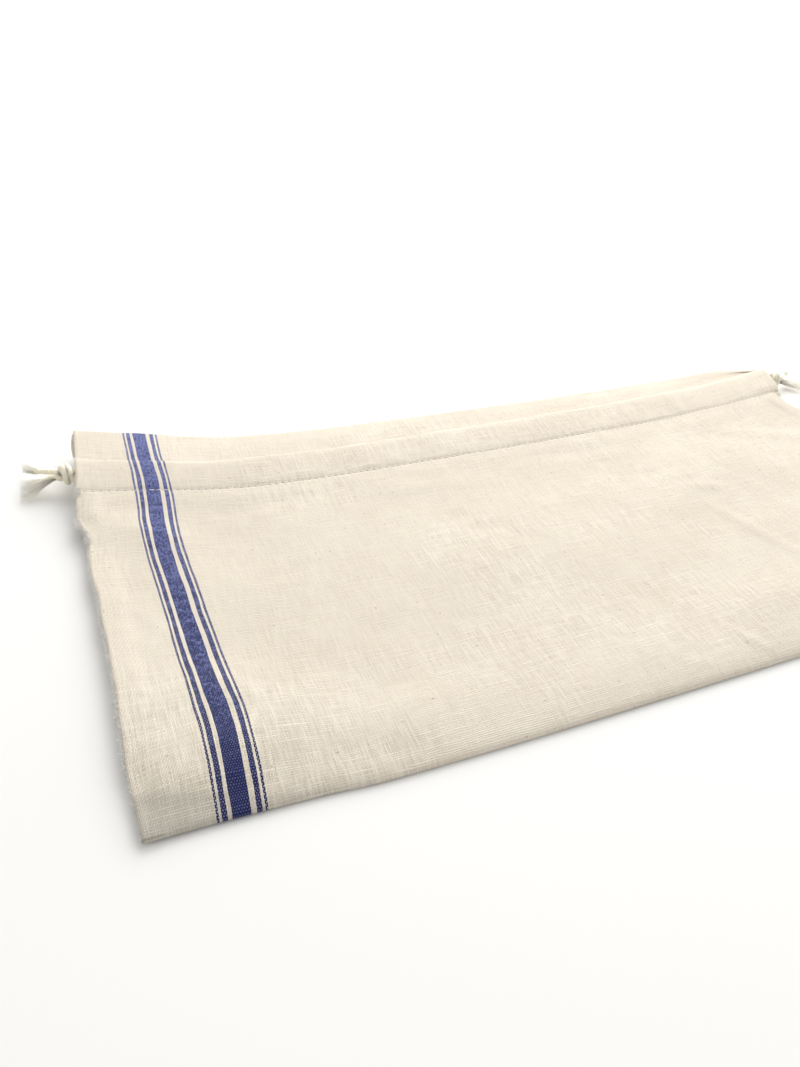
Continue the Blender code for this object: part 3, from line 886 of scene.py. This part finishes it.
# The weave, in millimetres, and the blue warp threads, counted from the left side. The stripe's
# threads are blue and natural by turns.
WARP_PITCH, WEFT_PITCH = 0.52, 1.0
THREAD_WAVE, WARP_STAND = 0.6, 0.34         # how far threads rise and dip, and the warp stands out
THICK_SHARE = 1.7                           # how much higher a thread stands where it is thick
STRIPE_START = 53
STRIPE_THREADS = (2, 2, 4, 3, 14, 4, 4, 2, 2)
WEFT_DYED = {2: 0.58, 4: 0.84, 14: 0.94}    # how blue the weft looks between that many blue warps
PALE_FLAX, DULL_FLAX = (0.95, 0.88, 0.76), (0.64, 0.555, 0.45)
PALE_BLUE, DEEP_BLUE, WEFT_BLUE = (0.016, 0.023, 0.130), (0.003, 0.005, 0.040), (0.045, 0.060, 0.200)
SHEEN_BLUE = (0.150, 0.180, 0.420)          # painted sheen: the paler blue that the stripe turns toward, from the bottom to the mouth
SHEEN_MOST = 0.85
FOLD_SHADE_FLAX = (0.40, 0.375, 0.34)           # painted shade on the bottom fold, darkest at its left corner
# painted shade in the gaps between threads, on natural and on blue threads
FLAX_GAP_SHADE, BLUE_GAP_SHADE = (0.46, 0.39, 0.28), (0.03, 0.035, 0.12)
# the husk's own brown, and the painted shade of a needle hole
FLECK_BROWN, NEEDLE_HOLE_SHADE = (0.30, 0.23, 0.15), (0.16, 0.12, 0.08)
FLECK_CELL = 7.0                            # each cell of this size holds one fleck at most
# A kind of fleck: how far it and its cells are stretched across and along, and where they start.
FLECK_KINDS = ((2.2, 1.1, 0.0), (1.0, 1.9, 31.7))
HOLE_RADIUS, HOLE_HEART = 0.62, 0.22        # of a needle hole, and of the darkest part of it
SIDE_PULL, SIDE_PULL_PITCH = 3.6, 2.9       # how far in its sides are puckered, and how finely


def fine_noise(tree, place, across_size, run_size, detail=2.0):
    """Soft noise from 0 to 1 whose patches have these sizes, in millimetres, on the flat cloth."""
    scaled = wire(tree, "Mapping", Vector=place, Scale=(1000.0 / across_size, 1000.0 / run_size, 1.0))
    noise = wire(tree, "TexNoise", {"noise_dimensions": "2D"}, Vector=scaled.outputs[0], Scale=1.0,
                 Detail=detail, Roughness=0.55)
    return Number(tree, noise.outputs[0])


def plain_weave(tree, place, across, run):
    """The warp thread's number, how thick the warp and the weft thread are, whether the warp
    shows, and how high the upper thread stands. The threads pass over each other by turns."""
    warp = (fine_noise(tree, place, 7.0, 22.0) * 0.9 + across - 0.45) / WARP_PITCH
    weft = (fine_noise(tree, place, 22.0, 7.0) * 1.2 + run) / WEFT_PITCH
    warp_number, weft_number = warp.by("FLOOR"), weft.by("FLOOR")
    thick, heights = [], []
    for thread, crossed, number, wave, roundness, stand, spread, along, slub in (
            (warp, weft, warp_number, THREAD_WAVE, -3.4, WARP_STAND, 0.01373, run, 13.0),
            (weft, warp, weft_number, -THREAD_WAVE, -7.0, 0.0, 0.01547, across, 18.0)):
        off = thread - number - 0.5
        rising = ((crossed - 0.5 + number) * math.pi).by("COSINE") * wave
        own_place = wire(tree, "CombineXYZ", X=number * spread, Y=along * MILLIMETRE)
        thick.append(fine_noise(tree, own_place.outputs[0], 1.0, slub, 1.0))
        heights.append(rising + off * off * roundness + (1.0 + stand) + thick[-1] * THICK_SHARE)
    shows_warp = ((heights[0] - heights[1]) * 2.4).by("ADD", 0.5, clamp=True)
    return warp_number, thick, shows_warp, heights[0].by("MAXIMUM", heights[1])


def stripe_bands(tree, warp_number):
    """Whether a warp thread is a blue one of the stripe, and how blue the weft looks there."""
    threads = sum(STRIPE_THREADS)
    bands = wire(tree, "ValToRGB", Fac=(warp_number - (STRIPE_START - 0.5)) / threads)
    ramp, natural = bands.color_ramp, (0.0, 0.0, 0.0, 1.0)
    ramp.interpolation = "CONSTANT"
    ramp.elements[1].position = 1.0
    for end in ramp.elements:
        end.color = natural
    counted = 0
    for turn, count in enumerate(STRIPE_THREADS):
        band = ramp.elements.new(max(counted / threads, 0.0005))
        band.color = natural if turn % 2 else (1.0, WEFT_DYED[count], 0.0, 1.0)
        counted += count
    parts = wire(tree, "SeparateColor", Color=bands.outputs[0]).outputs
    return Number(tree, parts[0]), Number(tree, parts[1])


def husk_flecks(tree, place, kind):
    """Where a kind of husk fleck lies. Not every cell has one, and most of them are small."""
    long_across, long_run, start = kind
    scale = (1000.0 / (FLECK_CELL * long_across), 1000.0 / (FLECK_CELL * long_run), 1.0)
    at = wire(tree, "Mapping", Vector=place, Location=(start, start, 0.0), Scale=scale).outputs[0]
    spots = wire(tree, "TexVoronoi", {"voronoi_dimensions": "2D"}, Vector=at, Scale=1.0).outputs
    pick = [Number(tree, part) for part in wire(tree, "SeparateColor", Color=spots["Color"]).outputs]
    reach = pick[0].by("POWER", 3.0) * 0.055
    inside = (Number(tree, spots["Distance"]) - reach).eased(0.012, -0.022)
    return inside * pick[1].by("GREATER_THAN", 0.45)


def linen_finish(name, lines, strip_run):
    """Plain-woven linen: rounded warp and weft threads that are uneven in thickness and tone,
    with flecks of husk, and needle holes along the lines of stitching. Painted shade darkens the gaps
    between threads, the needle holes and the bottom fold, and a painted sheen pales the blue toward the
    mouth."""
    finish, tree, shader = new_finish(name)
    place = wire(tree, "UVMap", {"uv_map": "flat"}).outputs[0]
    parts = wire(tree, "SeparateXYZ", Vector=place).outputs
    across, run = (Number(tree, parts[axis]) * 1000.0 for axis in (0, 1))
    warp_number, thick, shows_warp, top = plain_weave(tree, place, across, run)
    is_blue, weft_dyed = stripe_bands(tree, warp_number)
    is_natural = is_blue * -1.0 + 1.0
    # the tones of the threads
    off_fold = (run - strip_run / 2).by("ABSOLUTE")
    # the near left corner: the threads' tone varies more there, and it gets a little painted shade
    corner_slubs_and_shade = across.eased(130.0, 40.0) * off_fold.eased(90.0, 30.0)
    cloudy = fine_noise(tree, place, 46.0, 38.0, 3.0)
    hairs = fine_noise(tree, place, 0.33, 0.30, 2.0)
    streaky = fine_noise(tree, place, 80.0, 60.0, 1.0).eased(0.45, 0.65) * 0.7 + 0.4 + corner_slubs_and_shade * 1.3
    natural = []
    for own in thick:
        tone = ((own - 0.5) * streaky + hairs * 0.45 + 0.14).by("ADD", cloudy * 0.4, clamp=True)
        natural.append(blended(tree, tone, DULL_FLAX, PALE_FLAX))
    blue_tone = (thick[0] * 1.9).by("ADD", hairs * 0.5 - 0.75, clamp=True)
    # painted sheen: the blue pales from the bottom fold toward the mouth, with the dye's own mottling on
    # it
    painted_sheen = wire(tree, "MapRange", Value=off_fold, From_Min=12.0, From_Max=DEEP, To_Max=SHEEN_MOST)
    mottled = fine_noise(tree, place, 1.0, 1.9, 1.0) * 2.2 + fine_noise(tree, place, 9.0, 4.0, 1.0)
    mottled = (mottled - 1.64) * off_fold.eased(0.0, 60.0)
    mottle_and_sheen = mottled.by("ADD", painted_sheen.outputs[0], clamp=True)
    blue_warp = blended(tree, mottle_and_sheen, blended(tree, blue_tone, DEEP_BLUE, PALE_BLUE), SHEEN_BLUE)
    blue_weft = blended(tree, mottle_and_sheen, WEFT_BLUE, SHEEN_BLUE)
    warp_colour = blended(tree, is_blue, natural[0], blue_warp)
    weft_colour = blended(tree, weft_dyed, natural[1], blue_weft)
    colour = blended(tree, shows_warp, weft_colour, warp_colour)
    # the painted shade on the fold, in the gaps between threads and in the needle holes, and the husk
    # painted shade: the bottom fold, most of all at its left corner, is darkened toward grey
    slanting = across.by("MINIMUM", 45.0) * 0.3 + off_fold
    painted_fold_shade = (across.eased(110.0, 20.0) * 0.42 + 0.06) * slanting.eased(20.0, 14.0)
    colour = blended(tree, (corner_slubs_and_shade * 0.07 + painted_fold_shade) * is_natural, colour, FOLD_SHADE_FLAX)
    # painted shade: the gaps between the threads are darkened where the weave is low
    gap_shade = top.eased(1.6, 0.75) * 0.6
    colour = blended(tree, gap_shade, colour, blended(tree, is_blue, FLAX_GAP_SHADE, BLUE_GAP_SHADE))
    for kind in FLECK_KINDS:
        fleck = husk_flecks(tree, place, kind) * (is_natural * 0.5)
        colour = blended(tree, fleck, colour, FLECK_BROWN)
    off_line = (run - lines[0]).by("ABSOLUTE")
    for line in lines[1:]:
        off_line = off_line.by("MINIMUM", (run - line).by("ABSOLUTE"))
    beside = across.by("PINGPONG", STITCH / 2)
    holes = (beside * beside + off_line * off_line).by("SQRT").eased(HOLE_RADIUS, HOLE_HEART)
    # painted shade: each needle hole is darkened
    colour = blended(tree, holes * 0.62, colour, NEEDLE_HOLE_SHADE)
    # how it all stands out
    from_side = across.by("ABSOLUTE").by("MINIMUM", (across - WIDE).by("ABSOLUTE"))
    drawn = from_side.eased(SIDE_PULL, 0.4) * (run * (math.tau / SIDE_PULL_PITCH)).by("COSINE")
    fine = wire(tree, "Bump", Strength=1.0, Distance=0.00016, Height=hairs * 0.25 + top - holes * 1.6)
    uneven = thick[0] + thick[1] + fine_noise(tree, place, 3.4, 3.0) + drawn * 0.22
    coarse = wire(tree, "Bump", Strength=0.5, Distance=0.0002, Height=uneven, Normal=fine.outputs[0])
    plug(tree, shader, Base_Color=colour, Normal=coarse.outputs[0], Roughness=top * -0.08 + 0.97,
         Specular_IOR_Level=0.14, Sheen_Weight=0.12, Sheen_Roughness=0.5)
    return finish


linen = linen_finish("striped_linen", strip_lines, strip_length)
cloth = add_piece("bag_cloth_linen", strip_points, strip_faces, linen, strip_flat * MILLIMETRE)
turned_in = -strip_flat[:, 0].min()
whole = (strip_flat + (turned_in, 0.0)) / (WIDE + 2 * turned_in, strip_length)
corners = np.empty(len(cloth.data.loops), np.int32)
cloth.data.loops.foreach_get("vertex_index", corners)
bake_map = cloth.data.uv_layers.new(name="OFBake")
bake_map.uv.foreach_set("vector", whole[corners].astype(np.float32).ravel())
cloth.data.uv_layers["flat"].active_render = True
body = cloth.modifiers.new("thickness", "SOLIDIFY")
body.thickness = CLOTH_THICKNESS * MILLIMETRE
body.offset = 0.0
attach(cloth, "root")
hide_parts("bag_cloth")

# ---- The stitching --------------------------------------------------------------------------
# Two lines of machine stitching in natural cotton hold down each end's turned-in hem: one under
# the header and one along the foot of the casing. Each stitch sinks into its needle hole.
THREAD_RADIUS = 0.25
STITCH_SHARES = np.array((0.05, 0.16, 0.34, 0.5, 0.66, 0.84, 0.95))
STITCH_DIP, STITCH_STAND = 0.45, 0.16       # how deep its ends go, and how high its middle stands
UNDER_THREAD_HEIGHT = 0.215         # the back's stitches lie in the cloth's own thickness


def stitched_line(layer, from_fold, seed):
    """One line of stitches: their points, in millimetres as laid, and their radii."""
    rng = np.random.default_rng(seed)
    start = np.arange(1, STITCHES - 2)[:, None] + 0.5 * (layer == BACK_PANEL)
    across = (start + STITCH_SHARES) * STITCH
    wander = rng.normal(0, 0.06, (len(start), 1))
    along = from_fold + wander + rng.normal(0, 0.05, (len(start), 1)) * (STITCH_SHARES - 0.5) * 4
    arch = np.sin(math.pi * (STITCH_SHARES - STITCH_SHARES[0]) / (STITCH_SHARES[-1] - STITCH_SHARES[0]))
    if layer == FRONT_PANEL:
        top = layer_height(layer, across, along) + CLOTH_THICKNESS / 2
        height = top + STITCH_STAND * arch - STITCH_DIP * (1 - arch) ** 3
    else:
        height = UNDER_THREAD_HEIGHT + STITCH_DIP * (1 - arch) ** 3
    radii = THREAD_RADIUS * (0.75 + 0.25 * arch) * rng.uniform(0.88, 1.12, (len(start), 1))
    if layer == BACK_PANEL:
        radii = np.minimum(radii, UNDER_THREAD_HEIGHT - 0.03)
    return lay(across, along, height) / MILLIMETRE, np.broadcast_to(radii, across.shape)


thread_cotton = cotton_finish("thread_cotton", (0.96, 0.92, 0.84), (0.76, 0.69, 0.57), 2.0, 0.5, 0.25)
stitch_lines = [stitched_line(layer, line, 20 + number) for number, (layer, line) in enumerate(
    (layer, line) for layer in (FRONT_PANEL, BACK_PANEL) for line in (CASING_FOOT, CASING_HEAD))]
stitch_paths, stitch_radii = (np.concatenate([line[part] for line in stitch_lines]) for part in (0, 1))
points, faces = fine_threads(stitch_paths, stitch_radii, 6)
stitches = add_piece("casing_stitches", points * MILLIMETRE, faces, thread_cotton,
                     points[:, :2] * MILLIMETRE)
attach(stitches, "root")

# ---- The loose fibres -----------------------------------------------------------------------
# Washed linen sheds short fibres. They stand off the seamed sides, thickest where the left one
# has been handled, and fray into tufts where the slits begin and at the casing's corners.
FIBRE_RADIUS = 0.085
# One group of fibres a row, on both sides of the bag. inward is how far in from the side the
# roots go, low and high are the roots' heights over the true bag's flat underside, and left and
# right are the counts. A group above ON_FRONT rides on the front, taken there to be FRONT_LEVEL high.
ON_FRONT, FRONT_LEVEL = 3.0, 4.6
# from_fold, to_from_fold, low, high, inward, shortest, longest, left, right
FIBRE_GROUPS = (
    (1, 188, 0.5, 2.9, 0.5, 0.4, 1.5, 1700, 1300),
    (30, 150, 0.6, 2.9, 0.4, 0.7, 2.6, 2600, 0),
    (150, 188, 0.6, 3.0, 0.5, 0.5, 1.9, 450, 200),
    (166, 190, 0.7, 4.4, 2.2, 1.0, 3.4, 800, 160),
    (194, 258, 3.9, 5.2, 0.4, 0.4, 1.4, 260, 200),
    (203, 210, 4.4, 5.6, 3.0, 1.0, 2.8, 170, 90),
    (192, 258, 0.5, 0.9, 0.4, 0.4, 1.4, 180, 160),
)
LIP_FIBRES, FRONT_LIP_SHARE = 420, 0.6
FIBRE_LOWEST = 0.12         # how near the surface a fibre's middle comes


def stray_fibres(roots, ways, shortest, longest, rng):
    """Curling fibres that leave their roots, in millimetres as laid, each on its own way."""
    t = np.linspace(0, 1, 4)[None, :, None]
    count = len(roots)
    ways = ways + rng.normal(0, 0.45, (count, 3))
    ways /= np.linalg.norm(ways, axis=1)[:, None]
    length = shortest + (longest - shortest) * rng.beta(1.2, 2.6, count)
    curl = rng.normal(0, 0.45, (count, 3))
    paths = roots[:, None, :] + length[:, None, None] * (ways[:, None, :] * t + curl[:, None, :] * t * t)
    paths[..., 2] = np.maximum(paths[..., 2], FIBRE_LOWEST)
    radii = FIBRE_RADIUS * rng.uniform(0.6, 1.3, (count, 1)) * np.array((1.1, 1.0, 0.8, 0.5))
    return paths, radii


fray = cotton_finish("frayed_flax", (0.97, 0.95, 0.90), (0.80, 0.75, 0.66), 2.0, 0.0, 0.7)
for side_name, edge, outward, column, seed in (("left", 0.0, -1.0, 7, 41), ("right", WIDE, 1.0, 8, 42)):
    rng = np.random.default_rng(seed)
    groups = []
    for group in FIBRE_GROUPS:
        start, end, low, high, inward, shortest, longest = group[:7]
        count = group[column]
        if not count:
            continue
        from_fold = rng.uniform(start, end, count)
        across = edge - outward * rng.uniform(0, inward, count)
        height = rng.uniform(low, high, count)
        if low > ON_FRONT:
            height = height + layer_height(FRONT_PANEL, across, from_fold) - FRONT_LEVEL
        roots = lay(across, from_fold, height) / MILLIMETRE
        groups.append(stray_fibres(roots, np.array((outward, 0.0, 0.0)), shortest, longest, rng))
    half = LIP_FIBRES // 2
    across = WIDE / 2 + outward * rng.uniform(0, WIDE / 2, half)
    lip = np.where(rng.uniform(0, 1, half) > 1.0 - FRONT_LIP_SHARE, FRONT_LIP[0], BACK_LIP[0])
    height = lip + rng.uniform(-0.5, 0.5, half)
    roots = lay(across, DEEP + 0.2, height) / MILLIMETRE
    groups.append(stray_fibres(roots, np.array((0.0, 1.0, 0.0)), 0.3, 1.1, rng))
    paths, radii = (np.concatenate([group[part] for group in groups]) for part in (0, 1))
    points, faces = fine_threads(paths, radii)
    fibres = add_piece("frayed_fibres_" + side_name, points * MILLIMETRE, faces, fray,
                       points[:, :2] * MILLIMETRE)
    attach(fibres, "root")

# ---- The surface and the light --------------------------------------------------------------
# A white board that reaches far out, lit by a big soft window on the bag's right, by one behind
# it and by a pale room. Beyond the board stands a surround of pale paper, which is only seen.
BOARD_SHADE, BOARD_WHITE = (0.855, 0.855, 0.845), (0.865, 0.865, 0.86)
BOARD_GLOW, BOARD_FAR_GLOW = 0.01, 0.62
SURFACE_REACH, SURROUND_REACH, SURROUND_GLOW = 9.0, 9.5, 0.97
ROOM_LIGHT, ROOM_SHADE = 1.10, 0.57         # the room behind the bag to its right, and before it
ROOM_BRIGHT_WAY = (0.55, 0.72, 0.40)
# The light's place, its size and its power.
WINDOWS = (
    ((0.95, 0.55, 0.95), 1.8, 8.7),
    ((0.22, 0.64, 0.52), 0.7, 5.2),
)


def board_finish():
    """Matt white board, with a faint grain, that gives back a little light of its own, and more
    of it out where the window doesn't reach."""
    finish, tree, shader = new_finish("white_board")
    solid = wire(tree, "TexCoord").outputs["Object"]
    grain = wire(tree, "TexNoise", Vector=solid, Scale=3.0, Detail=2.0, Roughness=0.5).outputs[0]
    away = wire(tree, "VectorMath", {"operation": "LENGTH"}, Vector=solid).outputs["Value"]
    glow = Number(tree, away).eased(0.5, 1.6) * BOARD_FAR_GLOW + BOARD_GLOW
    plug(tree, shader, Base_Color=blended(tree, grain, BOARD_SHADE, BOARD_WHITE), Roughness=0.9,
         Specular_IOR_Level=0.1, Emission_Color=(1.0, 1.0, 1.0, 1.0), Emission_Strength=glow)
    return finish


def add_window(place, size, power):
    """A square soft light that looks at the bag's middle."""
    data = bpy.data.lights.new("window", "AREA")
    data.shape, data.size, data.energy, data.color = "SQUARE", size, power, (1.0, 0.985, 0.955)
    window = bpy.data.objects.new("window", data)
    window.location = place
    window.rotation_euler = (-Vector(place)).to_track_quat("-Z", "Y").to_euler()
    bpy.context.scene.collection.objects.link(window)


def add_room(bright, shade, way):
    """A room whose light falls away evenly from its bright side to the other."""
    room = bpy.data.worlds.new("room")
    bpy.context.scene.world = room
    room.use_nodes = True
    tree = room.node_tree
    around = wire(tree, "TexCoord").outputs["Generated"]
    along = wire(tree, "VectorMath", {"operation": "DOT_PRODUCT"}, i0=around,
                 i1=Vector(way).normalized()).outputs["Value"]
    light = Number(tree, along).eased(-0.1, 1.0) * (bright - shade) + shade
    plug(tree, tree.nodes["Background"], Strength=light, Color=(1.0, 0.995, 0.98, 1.0))


def add_surround(reach, glow):
    """A pale paper surround that is only seen, and takes no part in the lighting."""
    paper, tree, shader = new_finish("pale_paper")
    plug(tree, shader, Base_Color=(0.0, 0.0, 0.0, 1.0), Specular_IOR_Level=0.0,
         Emission_Color=(1.0, 1.0, 1.0, 1.0), Emission_Strength=glow)
    ball = bmesh.new()
    bmesh.ops.create_uvsphere(ball, u_segments=48, v_segments=24, radius=reach)
    points = [tuple(corner.co) for corner in ball.verts]
    faces = [[corner.index for corner in face.verts] for face in ball.faces]
    ball.free()
    surround = add_piece("surround", points, faces, paper)
    for way in ("diffuse", "glossy", "transmission", "volume_scatter", "shadow"):
        setattr(surround, "visible_" + way, False)


rim = [(SURFACE_REACH * math.cos(turn), SURFACE_REACH * math.sin(turn), 0.0)
       for turn in np.linspace(0, math.tau, 97)[:-1]]
board = add_piece("board", rim, [tuple(range(96))], board_finish())
add_surround(SURROUND_REACH, SURROUND_GLOW)
for window in WINDOWS:
    add_window(*window)
add_room(ROOM_LIGHT, ROOM_SHADE, ROOM_BRIGHT_WAY)
bpy.context.scene.view_settings.view_transform = "Standard"
